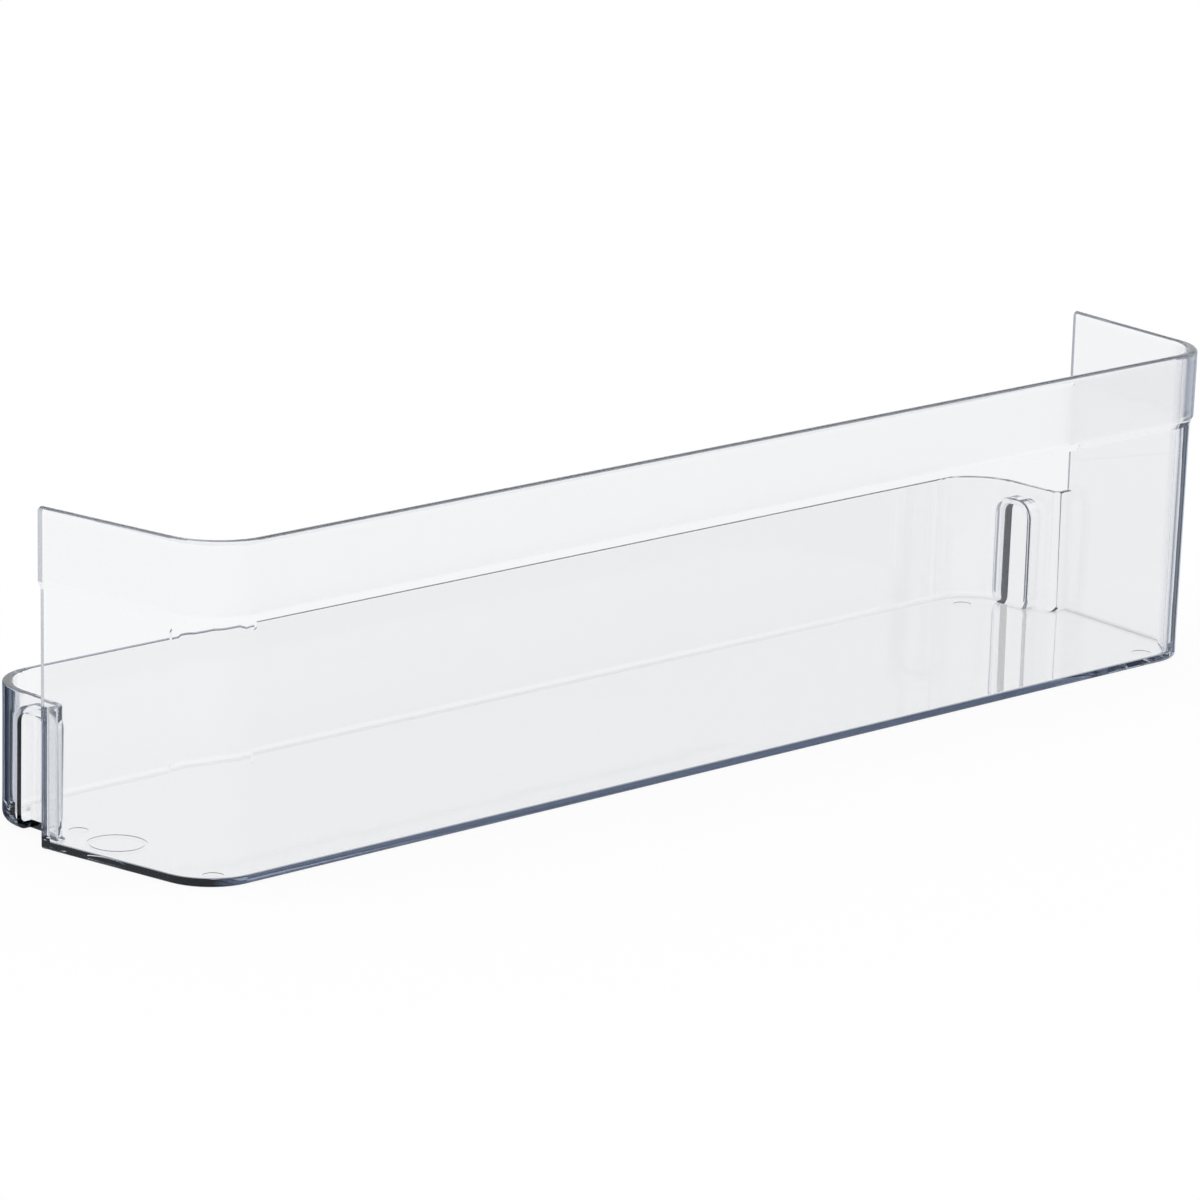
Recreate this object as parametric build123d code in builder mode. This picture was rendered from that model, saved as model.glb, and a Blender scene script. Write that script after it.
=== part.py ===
"""Fridge door shelf: one clear injection moulding, open at the top.

The shelf stands as it hangs on the door: the tall front wall faces -Y, the low rear bay backs onto the
door at +Y, and the origin is on the underside, in the middle of the overall box. Sizes in millimetres.
"""
from math import atan, cos, degrees, radians, tan
import os

from build123d import *

# Overall sizes, taken at the outermost faces
length = 439.4  # over the grip band, at the rear ends of the tall side walls
depth = 101.2  # from the band on the front wall to the rim of the low back wall
height = 100.0
rear_length = 422.6  # over the rim of the low rear bay
rear_reach = 36.9  # how far the rear bay stands behind the tall side walls
rear_height = 41.5

# Wall sections
wall = 2.0
floor = 2.0
draft_angle = 0.6  # degrees, every upright face opens towards the top
side_splay = 7.3  # degrees, the tall side walls spread towards the door

# Rounding of the plan outline and of the edges
front_radius = 17.5  # front corners at the rim, inside and outside alike
rear_radius = 18.0  # rear corners at the rim of the bay, inside and outside alike
step_radius = 1.5  # hollow corner where the rear bay meets the tall walls
front_foot_radius = 1.0
rear_foot_radius = 3.2
floor_radius = 0.8
high_rim_radius = 1.35  # rim of the tall walls
low_rim_radius = 0.5  # rim of the rear bay
rim_share = 0.45  # most of a wall's thickness that one rounded rim edge may take
rear_corner_radius = 2.0  # top corner of the tall side walls at the rear, seen from the side

# Thicker frosted grip band round the top of the tall walls
band_height = 21.5
band_proud = 1.0
band_lead = 2.4  # height of the slope under the band

# Channels that drop over the lugs of the door, and the hollow pads that they make inside the bay
channel_width = 11.4
channel_depth = 5.0
channel_top = 35.5
channel_corner = 3.6
channel_centre = 13.0  # behind the rear ends of the tall side walls
pad_radius = 0.9  # edges of the pads

# Shallow round marks that the ejector pins and a turned insert leave in the floor
ejector_diameter = 5.8
mark_left_in = 19.2  # left pair and ring, from the left end of the shelf
mark_right_in = 26.7  # right pair, from the right end
mark_front_in = 10.4  # front pair, from the front of the band
left_behind = 2.8  # rear mark on the left, behind the rear ends of the tall side walls
right_back_in = 13.7  # rear mark on the right, from the rim of the back wall
ring_diameter = 17.4
ring_width = 0.8
ring_ahead = 13.9  # in front of the rear ends of the tall side walls
mark_sink = 0.15

# Cutting tools run past the faces that they cut by this much
spare = 6.0

slope = tan(radians(draft_angle))
splay = tan(radians(side_splay))
rise = height * slope
step_y = depth / 2 - rear_reach
front_foot_y = -depth / 2 + band_proud + rise
foot_half = length / 2 - (band_proud + rise) / cos(radians(side_splay)) - rise * splay
rear_rise = rear_height * slope
rear_half = rear_length / 2 - rear_rise
back_foot_y = depth / 2 - rear_rise
channel_y = step_y + channel_centre
channel_back = rear_half - channel_depth


def tall_half(y):
    """Half the length of the tall part's outside at the foot, at a place along the depth."""
    return foot_half + (y - step_y) * splay


def tall_block(grow, bottom, top, taper=draft_angle):
    """Solid within the tall front and side walls, their foot outline grown by an amount, open to the rear.

    An outline that shrinks keeps its corner radius, so the walls are thicker at the corners.
    """
    rear_y = depth
    with BuildPart() as block:
        with BuildSketch(Plane.XY.offset(bottom)) as outline:
            with BuildLine():
                Polyline(
                    (-tall_half(rear_y), rear_y),
                    (-tall_half(front_foot_y), front_foot_y),
                    (tall_half(front_foot_y), front_foot_y),
                    (tall_half(rear_y), rear_y),
                    close=True,
                )
            make_face()
            if grow:
                offset(amount=grow, kind=Kind.INTERSECTION, mode=Mode.REPLACE)
            fillet(outline.vertices().group_by(Axis.Y)[0], front_radius - rise + max(grow, 0))
        extrude(amount=top - bottom)
        draft(block.faces().filter_by(Axis.Z, reverse=True), Plane.XY.offset(bottom), -taper)
    return block.part


def bay_block(inset, bottom, top, foot_radius):
    """Solid within the walls of the low rear bay, flared where it meets the step, with a rounded foot."""
    grow = bottom * slope - inset
    half_width = rear_half + grow
    back_y = back_foot_y + grow
    flare = step_radius - grow
    flare_x = rear_half + step_radius
    flare_y = step_y + step_radius
    front_y = step_y - wall - rear_foot_radius
    with BuildPart() as block:
        with BuildSketch(Plane.XY.offset(bottom)) as outline:
            with BuildLine():
                right = CenterArc((flare_x, flare_y), flare, 180, 90)
                left = CenterArc((-flare_x, flare_y), flare, 270, 90)
                Polyline(right @ 0, (half_width, back_y), (-half_width, back_y), left @ 1)
                Polyline(right @ 1, (flare_x, front_y), (-flare_x, front_y), left @ 0)
            make_face()
            fillet(outline.vertices().group_by(Axis.Y)[-1], rear_radius - rear_rise + max(grow, 0))
        extrude(amount=top - bottom)
        sides = block.faces().filter_by(Axis.Z, reverse=True).sort_by(Axis.Y)[3:]
        draft(sides, Plane.XY.offset(bottom), -draft_angle)
        fillet(block.edges().group_by(Axis.Z)[0].sort_by(Axis.Y)[3:], foot_radius)
    return block.part


def channel_block(grow, inner_x, bottom):
    """Pair of upright blocks on the outlines of the lug channels, grown by an amount, with round shoulders."""
    top = channel_top + grow
    with BuildPart() as block:
        with BuildSketch(Plane.YZ.offset(inner_x)) as outline:
            with Locations((channel_y, (bottom + top) / 2)):
                Rectangle(channel_width + 2 * grow, top - bottom)
            fillet(outline.vertices().group_by(Axis.Z)[-1], channel_corner + grow)
        extrude(amount=length / 2 - inner_x)
        mirror(about=Plane.YZ)
    return block.part


# Inside of the tall part, stopped below the rim of the bay by the leaning step walls
with BuildPart() as hollow:
    add(tall_block(floor * slope - wall, floor, height))
    fillet(hollow.edges().group_by(Axis.Z)[0], floor_radius)
    with BuildSketch(Plane.YZ):
        with BuildLine():
            Polyline(
                (step_y - wall, 0),
                (step_y - wall + rear_rise, rear_height),
                (depth + spare, rear_height),
                (depth + spare, 0),
                close=True,
            )
        make_face()
    extrude(amount=length, both=True, mode=Mode.SUBTRACT)

# Side profile of the tall part: leaning rear ends with rounded top corners
with BuildPart() as side_profile:
    with BuildSketch(Plane.YZ) as profile:
        with BuildLine():
            Polyline(
                (-depth, -spare),
                (step_y - spare * slope, -spare),
                (step_y + rise, height),
                (-depth, height),
                close=True,
            )
        make_face()
        fillet(profile.vertices().group_by(Axis.Z)[-1].sort_by(Axis.Y)[-1], rear_corner_radius)
    extrude(amount=length, both=True)

# Outside of the low rear bay, kept out of the tall part's inside
with BuildPart() as bay:
    add(bay_block(0, 0, rear_height, rear_foot_radius))
    add(hollow.part, mode=Mode.SUBTRACT)

# Pads inside the bay, kept within the middle of its walls
with BuildPart() as pads:
    add(channel_block(wall, channel_back - wall, 0))
    pad_faces = pads.faces().filter_by(Axis.X).sort_by(lambda face: abs(face.center().X))[:2]
    fillet(pad_faces.edges(), pad_radius)
    add(bay_block(wall / 2, floor / 2, rear_height, rear_foot_radius - wall / 2), mode=Mode.INTERSECT)

with BuildPart() as shelf:
    # Tall block with the band round its top, hollowed, with rounded rims, cut off behind
    add(tall_block(0, 0, height))
    fillet(shelf.edges().group_by(Axis.Z)[0], front_foot_radius)
    band_bottom = height - band_height
    lead_bottom = band_bottom - band_lead
    lead_taper = degrees(atan((band_proud + band_lead * slope) / band_lead))
    add(tall_block(lead_bottom * slope, lead_bottom, band_bottom, lead_taper))
    add(tall_block(band_bottom * slope + band_proud, band_bottom, height))
    add(hollow.part, mode=Mode.SUBTRACT)
    high_rim = shelf.edges().group_by(Axis.Z)[-1].sort_by(Axis.Y)
    rounding = min(high_rim_radius, rim_share * (wall + band_proud))
    fillet(high_rim[:-2], rounding)  # all but the two rear edges, which go with the next cut
    add(side_profile.part, mode=Mode.INTERSECT)

    # Low rear bay and its hollow, which runs into the tall one
    add(bay.part)
    add(bay_block(wall, floor, height, rear_foot_radius - wall), mode=Mode.SUBTRACT)
    low_rim = shelf.edges().filter_by_position(Axis.Z, rear_height, rear_height)
    low_rim = low_rim.filter_by(lambda edge: abs(edge.center().X) < tall_half(step_y) - wall)
    fillet(low_rim, min(low_rim_radius, rim_share * wall))

    # Lug channels, open below
    add(pads.part)
    add(channel_block(0, channel_back, -spare), mode=Mode.SUBTRACT)

    # Marks in the floor
    left_x = mark_left_in - length / 2
    right_x = length / 2 - mark_right_in
    front_y = mark_front_in - depth / 2
    with BuildSketch(Plane.XY.offset(floor)):
        with Locations((left_x, front_y), (left_x, step_y + left_behind)):
            Circle(ejector_diameter / 2)
        with Locations((right_x, front_y), (right_x, depth / 2 - right_back_in)):
            Circle(ejector_diameter / 2)
        with Locations((left_x, step_y - ring_ahead)):
            Circle(ring_diameter / 2)
            Circle(ring_diameter / 2 - ring_width, mode=Mode.SUBTRACT)
    extrude(amount=-mark_sink, mode=Mode.SUBTRACT)

shelf.part.label = "door_shelf"
os.makedirs("parts", exist_ok=True)
export_step(shelf.part, "parts/door_shelf.step")
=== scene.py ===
from math import cos, pi, radians, sin, tan

import bpy
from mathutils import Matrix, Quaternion, Vector

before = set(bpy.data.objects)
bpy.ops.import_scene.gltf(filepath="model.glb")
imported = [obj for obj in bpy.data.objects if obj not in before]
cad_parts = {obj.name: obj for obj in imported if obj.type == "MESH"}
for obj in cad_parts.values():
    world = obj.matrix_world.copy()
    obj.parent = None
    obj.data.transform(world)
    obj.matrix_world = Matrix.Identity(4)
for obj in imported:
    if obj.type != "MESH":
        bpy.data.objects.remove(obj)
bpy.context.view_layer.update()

# The shelf: one injection moulding in clear polystyrene that hangs on the lugs of a fridge door.
# Its walls are polished inside and out. Only the outside of the grip band comes from a spark-eroded
# part of the mould, and is finely frosted from a little below the rim down to the foot of the band.
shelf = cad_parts["door_shelf"]
white = (1.0, 1.0, 1.0, 1.0)
refraction = 1.58
tint = (0.0, 0.14, 0.36, 1.0)  # a slate that shows only where light goes far through the plastic
tint_density = 9.0
frost_bottom, frost_top = 0.0783, 0.0973  # metres above the underside
frost_blend = 0.0006
frost_roughness = (0.13, 0.19)
front_face = 0.0505  # outside of the band in front of the origin
side_face = 0.2178  # outside of the band at the sides, measured square to the side walls
splay = radians(7.3)  # the side walls spread towards the door
splay_start = 0.0137  # where the side walls end, behind the origin
corner_radius = 0.0185
skin_depth = 0.0015  # the frosted skin is told from the polished inside within this depth
grain_size, grain_depth = 0.0004, 0.000003  # spark-eroded grain of the frost
ripple_size, ripple_depth = 0.03, 0.00002  # slow waves in the polished faces
noise_detail = 1.0
relief_scale = 1.0  # the heights of grain and ripples are in metres
end_front = 0.01  # the rear ends of the tall walls lie behind this, and above the rim of the bay
end_bottom = 0.0417
end_squareness = 0.99  # least share of an end face's normal that runs along Y

clear_styrene = bpy.data.materials.new("clear_styrene")
clear_styrene.use_nodes = True
tree = clear_styrene.node_tree
plastic = tree.nodes["Principled BSDF"]
plastic.inputs["Base Color"].default_value = white
plastic.inputs["IOR"].default_value = refraction
plastic.inputs["Transmission Weight"].default_value = 1.0
absorption = tree.nodes.new("ShaderNodeVolumeAbsorption")
absorption.inputs["Color"].default_value = tint
absorption.inputs["Density"].default_value = tint_density
tree.links.new(absorption.outputs["Volume"], tree.nodes["Material Output"].inputs["Volume"])


def feed(tree, socket, value):
    """Set a socket to a number, or link it to another node's output."""
    if isinstance(value, bpy.types.NodeSocket):
        tree.links.new(value, socket)
    else:
        socket.default_value = value


def calc(tree, operation, *values):
    """Output of a Math node that works on numbers or on other nodes' outputs."""
    node = tree.nodes.new("ShaderNodeMath")
    node.operation = operation
    for socket, value in zip(node.inputs, values):
        feed(tree, socket, value)
    return node.outputs["Value"]


def ramp(tree, value, start, end, low=0.0, high=1.0):
    """Output that goes smoothly from low to high as a value goes from start to end."""
    node = tree.nodes.new("ShaderNodeMapRange")
    node.interpolation_type = "SMOOTHSTEP"
    names = ("Value", "From Min", "From Max", "To Min", "To Max")
    for name, number in zip(names, (value, start, end, low, high)):
        feed(tree, node.inputs[name], number)
    return node.outputs["Result"]


def noise(tree, place, size):
    """Soft noise from 0 to 1 over a place in the object, with features of a size in metres."""
    node = tree.nodes.new("ShaderNodeTexNoise")
    node.inputs["Scale"].default_value = 1.0 / size
    node.inputs["Detail"].default_value = noise_detail
    tree.links.new(place, node.inputs["Vector"])
    return node.outputs["Fac"]


place = tree.nodes.new("ShaderNodeTexCoord").outputs["Object"]
split = tree.nodes.new("ShaderNodeSeparateXYZ")
tree.links.new(place, split.inputs["Vector"])
x, y, z = split.outputs

# How far a point lies outside the band's outline: the length of what is left of the distances to the
# front and side faces past the start of the rounded corner, set against the corner's radius.
ahead = calc(tree, "SUBTRACT", -front_face + corner_radius, y)
across = calc(tree, "MULTIPLY", calc(tree, "ABSOLUTE", x), cos(splay))
side_start = side_face - corner_radius - splay_start * sin(splay)
aside = calc(tree, "SUBTRACT", across, calc(tree, "MULTIPLY_ADD", y, sin(splay), side_start))
ahead = calc(tree, "MAXIMUM", ahead, 0.0)
aside = calc(tree, "MAXIMUM", aside, 0.0)
reach = calc(tree, "SQRT", calc(tree, "MULTIPLY_ADD", ahead, ahead, calc(tree, "MULTIPLY", aside, aside)))
outside = ramp(tree, reach, corner_radius - skin_depth, corner_radius - skin_depth / 2)
above = ramp(tree, z, frost_bottom, frost_bottom + frost_blend)
below = ramp(tree, z, frost_top + frost_blend, frost_top)
frost = calc(tree, "MULTIPLY", calc(tree, "MULTIPLY", above, below), outside)

# The frost is rough and grained, and the polished faces are slightly wavy.
grain = noise(tree, place, grain_size)
frosted = ramp(tree, grain, 0.0, 1.0, *frost_roughness)
tree.links.new(calc(tree, "MULTIPLY", frost, frosted), plastic.inputs["Roughness"])
height = calc(tree, "MULTIPLY", calc(tree, "MULTIPLY", frost, grain), grain_depth)
height = calc(tree, "MULTIPLY_ADD", noise(tree, place, ripple_size), ripple_depth, height)
relief = tree.nodes.new("ShaderNodeBump")
relief.inputs["Distance"].default_value = relief_scale
tree.links.new(height, relief.inputs["Height"])
tree.links.new(relief.outputs["Normal"], plastic.inputs["Normal"])

# The rear ends of the tall walls mirror as ends that are square to the walls.
face = tree.nodes.new("ShaderNodeNewGeometry")
facing = tree.nodes.new("ShaderNodeSeparateXYZ")
tree.links.new(face.outputs["True Normal"], facing.inputs["Vector"])
rearwards = facing.outputs["Y"]
end = calc(tree, "GREATER_THAN", calc(tree, "ABSOLUTE", rearwards), end_squareness)
end = calc(tree, "MULTIPLY", end, calc(tree, "GREATER_THAN", y, end_front))
end = calc(tree, "MULTIPLY", end, calc(tree, "GREATER_THAN", z, end_bottom))
lean = calc(tree, "MULTIPLY", calc(tree, "SIGN", x), calc(tree, "MULTIPLY", rearwards, tan(splay)))
turned = tree.nodes.new("ShaderNodeCombineXYZ")
tree.links.new(calc(tree, "MULTIPLY", end, lean), turned.inputs["X"])
square = tree.nodes.new("ShaderNodeVectorMath")
square.operation = "ADD"
tree.links.new(face.outputs["Normal"], square.inputs[0])
tree.links.new(turned.outputs["Vector"], square.inputs[1])
unit = tree.nodes.new("ShaderNodeVectorMath")
unit.operation = "NORMALIZE"
tree.links.new(square.outputs["Vector"], unit.inputs[0])
tree.links.new(unit.outputs["Vector"], relief.inputs["Normal"])
shelf.data.materials.clear()
shelf.data.materials.append(clear_styrene)

# The floor: a pale matt sweep that the shelf stands on. The camera, and what it sees straight through
# the plastic, finds it white with the shelf's faint shadow on it. What the plastic mirrors looks through
# the floor at a painted reflection of a room.
floor_reach = 6.0
floor_grey = 0.8
floor_glow = 0.9  # share of the floor's white that the shelf's shadow leaves alone
floor_drop = 0.0002  # the underside stays clear of the floor by this much
once = 0.5  # a count of mirrorings over this is one or more
signs = ((-1, -1), (1, -1), (1, 1), (-1, 1))
corners = [(right * floor_reach, back * floor_reach, -floor_drop) for right, back in signs]
floor_mesh = bpy.data.meshes.new("floor")
floor_mesh.from_pydata(corners, [], [(0, 1, 2, 3)])
floor = bpy.data.objects.new("floor", floor_mesh)
bpy.context.scene.collection.objects.link(floor)
floor_paint = bpy.data.materials.new("floor_paint")
floor_paint.use_nodes = True
tree = floor_paint.node_tree
matt = tree.nodes["Principled BSDF"]
matt.inputs["Roughness"].default_value = 1.0
matt.inputs["Specular IOR Level"].default_value = 0.0
path = tree.nodes.new("ShaderNodeLightPath")
seen = calc(tree, "MAXIMUM", path.outputs["Is Camera Ray"], path.outputs["Is Transmission Ray"])
paint = tree.nodes.new("ShaderNodeCombineColor")
for name in ("Red", "Green", "Blue"):
    tree.links.new(ramp(tree, seen, 0.0, 1.0, floor_grey, 1.0 - floor_glow), paint.inputs[name])
tree.links.new(paint.outputs["Color"], matt.inputs["Base Color"])
matt.inputs["Emission Color"].default_value = white
tree.links.new(calc(tree, "MULTIPLY", seen, floor_glow), matt.inputs["Emission Strength"])
# Light mirrored once or more passes through the floor and finds the painted reflection of the room
gone = tree.nodes.new("ShaderNodeBsdfTransparent")
pick = tree.nodes.new("ShaderNodeMixShader")
tree.links.new(calc(tree, "GREATER_THAN", path.outputs["Glossy Depth"], once), pick.inputs["Fac"])
tree.links.new(matt.outputs["BSDF"], pick.inputs[1])
tree.links.new(gone.outputs["BSDF"], pick.inputs[2])
tree.links.new(pick.outputs["Shader"], tree.nodes["Material Output"].inputs["Surface"])
floor_mesh.materials.append(floor_paint)

# The studio: soft white light all round. What the plastic mirrors once is a painted reflection: a light room
# with slate panels and gaps low down behind the shelf and at its sides, seen only in mirrorings, which draws
# its edges. What it mirrors again and again inside its walls comes out in painted shades and lights.
azimuth, elevation, tilt = radians(-45.132), radians(14.447), radians(1.898)  # how the camera looks
dull, slate, grey = (0.55, 0.57, 0.61), (0.08, 0.10, 0.15), (0.28, 0.32, 0.40)
pale, bright = (0.74, 0.79, 0.89), (0.85, 0.86, 0.88)
painted_panels = (  # degrees to the right of the line of sight, and the painted reflection's colour there
    (-180, dull), (-80, dull), (-60, slate), (-1, slate), (1, pale), (24, pale), (27, grey), (38, grey),
    (43, bright), (76, (0.70, 0.71, 0.74)), (85, (0.44, 0.46, 0.51)), (104, (0.40, 0.43, 0.48)), (180, dull),
)
# ground of the painted reflection of the room
painted_room_ground = (0.42, 0.45, 0.5, 1.0)
ground_line = (-0.55, -0.45)  # the painted reflection's ground ends and its white ceiling begins between these heights
ceiling_line = (-0.06, 0.06)
painted_shades = (  # number of times that light is mirrored, and the painted shade or light that it comes out in
    (2, (0.90, 0.91, 0.93)),
    (3, (0.04, 0.06, 0.10)),
    (4, (0.16, 0.19, 0.25)),
    (5, (0.01, 0.02, 0.04)),
    (7, (0.00, 0.01, 0.02)),
    (9, (0.80, 0.82, 0.86)),
    (11, (0.42, 0.45, 0.51)),
)
painted_gap_mirrorings = 5  # left of the line of sight, light that is mirrored this often comes out white, a painted highlight
painted_streak_mirrorings = 7  # left of these bearings, light that is mirrored this often comes out lighter, a painted light streak
painted_streak_bearings = (radians(9), radians(7))
# colour of the painted light streak
painted_streak_light = (0.16, 0.19, 0.25, 1.0)
twice = 1.5  # a count of mirrorings over this is two or more
same = 0.5  # counts that are closer than this are equal
most_mirrorings = 40
most_passes = 24  # through faces of the plastic
other_bounces = 16
world = bpy.data.worlds.new("studio")
bpy.context.scene.world = world
world.use_nodes = True
tree = world.node_tree
way = tree.nodes.new("ShaderNodeTexCoord").outputs["Generated"]


def along(tree, way, direction):
    """How far the looked-at way of the world runs along a direction."""
    node = tree.nodes.new("ShaderNodeVectorMath")
    node.operation = "DOT_PRODUCT"
    tree.links.new(way, node.inputs[0])
    node.inputs[1].default_value = direction
    return node.outputs["Value"]


def blend(tree, factor, first, second):
    """Colour that goes from the first to the second as the factor goes from 0 to 1."""
    node = tree.nodes.new("ShaderNodeMix")
    node.data_type = "RGBA"
    sockets = {socket.identifier: socket for socket in node.inputs}
    feed(tree, node.inputs["Factor"], factor)
    feed(tree, sockets["A_Color"], first)
    feed(tree, sockets["B_Color"], second)
    return next(socket for socket in node.outputs if socket.identifier == "Result_Color")


def lookup(tree, factor, pairs, interpolation):
    """Colour looked up at a factor from 0 to 1, in pairs of places and colours."""
    node = tree.nodes.new("ShaderNodeValToRGB")
    node.color_ramp.interpolation = interpolation
    stops = node.color_ramp.elements
    while len(stops) < len(pairs):
        stops.new(1.0)
    for stop, (position, colour) in zip(stops, pairs):
        stop.position = position
        stop.color = (*colour, 1.0)
    tree.links.new(factor, node.inputs["Fac"])
    return node.outputs["Color"]


# Painted reflection of a room in what is mirrored once, by bearing and height
onwards = along(tree, way, (-sin(azimuth), cos(azimuth), 0.0))
rightwards = along(tree, way, (cos(azimuth), sin(azimuth), 0.0))
upwards = along(tree, way, (0.0, 0.0, 1.0))
bearing = calc(tree, "ARCTAN2", rightwards, onwards)
turn = calc(tree, "MULTIPLY_ADD", bearing, 0.5 / pi, 0.5)  # 0 to 1 over the whole turn
around = [(0.5 + degrees / 360, colour) for degrees, colour in painted_panels]
painted_room = blend(tree, ramp(tree, upwards, *ground_line), painted_room_ground, lookup(tree, turn, around, "LINEAR"))
painted_room = blend(tree, ramp(tree, upwards, *ceiling_line), painted_room, white)

# Painted shades for what is mirrored more often, by the number of mirrorings
times = tree.nodes.new("ShaderNodeLightPath").outputs["Glossy Depth"]
share = calc(tree, "DIVIDE", times, most_mirrorings)
steps = [((count - same) / most_mirrorings, colour) for count, colour in painted_shades]
painted_deep_shade = lookup(tree, share, steps, "CONSTANT")
# painted highlight: white for light mirrored this often that leaves to the left
painted_gap_highlight = calc(tree, "COMPARE", times, painted_gap_mirrorings, same)
painted_gap_highlight = calc(tree, "MULTIPLY", painted_gap_highlight, calc(tree, "LESS_THAN", bearing, 0.0))
painted_deep_shade = blend(tree, painted_gap_highlight, painted_deep_shade, white)
# painted light streak: lighter for light mirrored this often that leaves left of these bearings
painted_streak = calc(tree, "COMPARE", times, painted_streak_mirrorings, same)
painted_streak = calc(tree, "MULTIPLY", painted_streak, ramp(tree, bearing, *painted_streak_bearings))
painted_deep_shade = blend(tree, painted_streak, painted_deep_shade, painted_streak_light)

# White for the camera and straight through the plastic, the painted reflection once mirrored, painted shades
# after that
white_and_painted_reflections = blend(tree, calc(tree, "GREATER_THAN", times, once), white, painted_room)
white_and_painted_reflections = blend(tree, calc(tree, "GREATER_THAN", times, twice), white_and_painted_reflections, painted_deep_shade)
tree.links.new(white_and_painted_reflections, tree.nodes["Background"].inputs["Color"])
bpy.context.scene.cycles.max_bounces = most_mirrorings + other_bounces
bpy.context.scene.cycles.glossy_bounces = most_mirrorings
bpy.context.scene.cycles.transmission_bounces = most_passes

# The camera: a long lens about two metres in front of the shelf and to its left. It looks down on the
# middle of the shelf at a low angle, and is tilted slightly.
target = Vector((0.003248, 0.0134, 0.038003))
distance = 2.1357
sensor_width, focal_length = 36.0, 210.93  # millimetres
sight_limit = 100.0
sight = Vector((-sin(azimuth) * cos(elevation), cos(azimuth) * cos(elevation), -sin(elevation)))
lens = bpy.data.cameras.new("camera")
lens.sensor_width = sensor_width
lens.lens = focal_length
lens.clip_end = sight_limit
camera = bpy.data.objects.new("camera", lens)
camera.location = target - distance * sight
camera.rotation_mode = "QUATERNION"
camera.rotation_quaternion = sight.to_track_quat("-Z", "Y") @ Quaternion((0, 0, 1), tilt)
bpy.context.scene.collection.objects.link(camera)
bpy.context.scene.camera = camera
bpy.context.scene.view_settings.view_transform = "Standard"
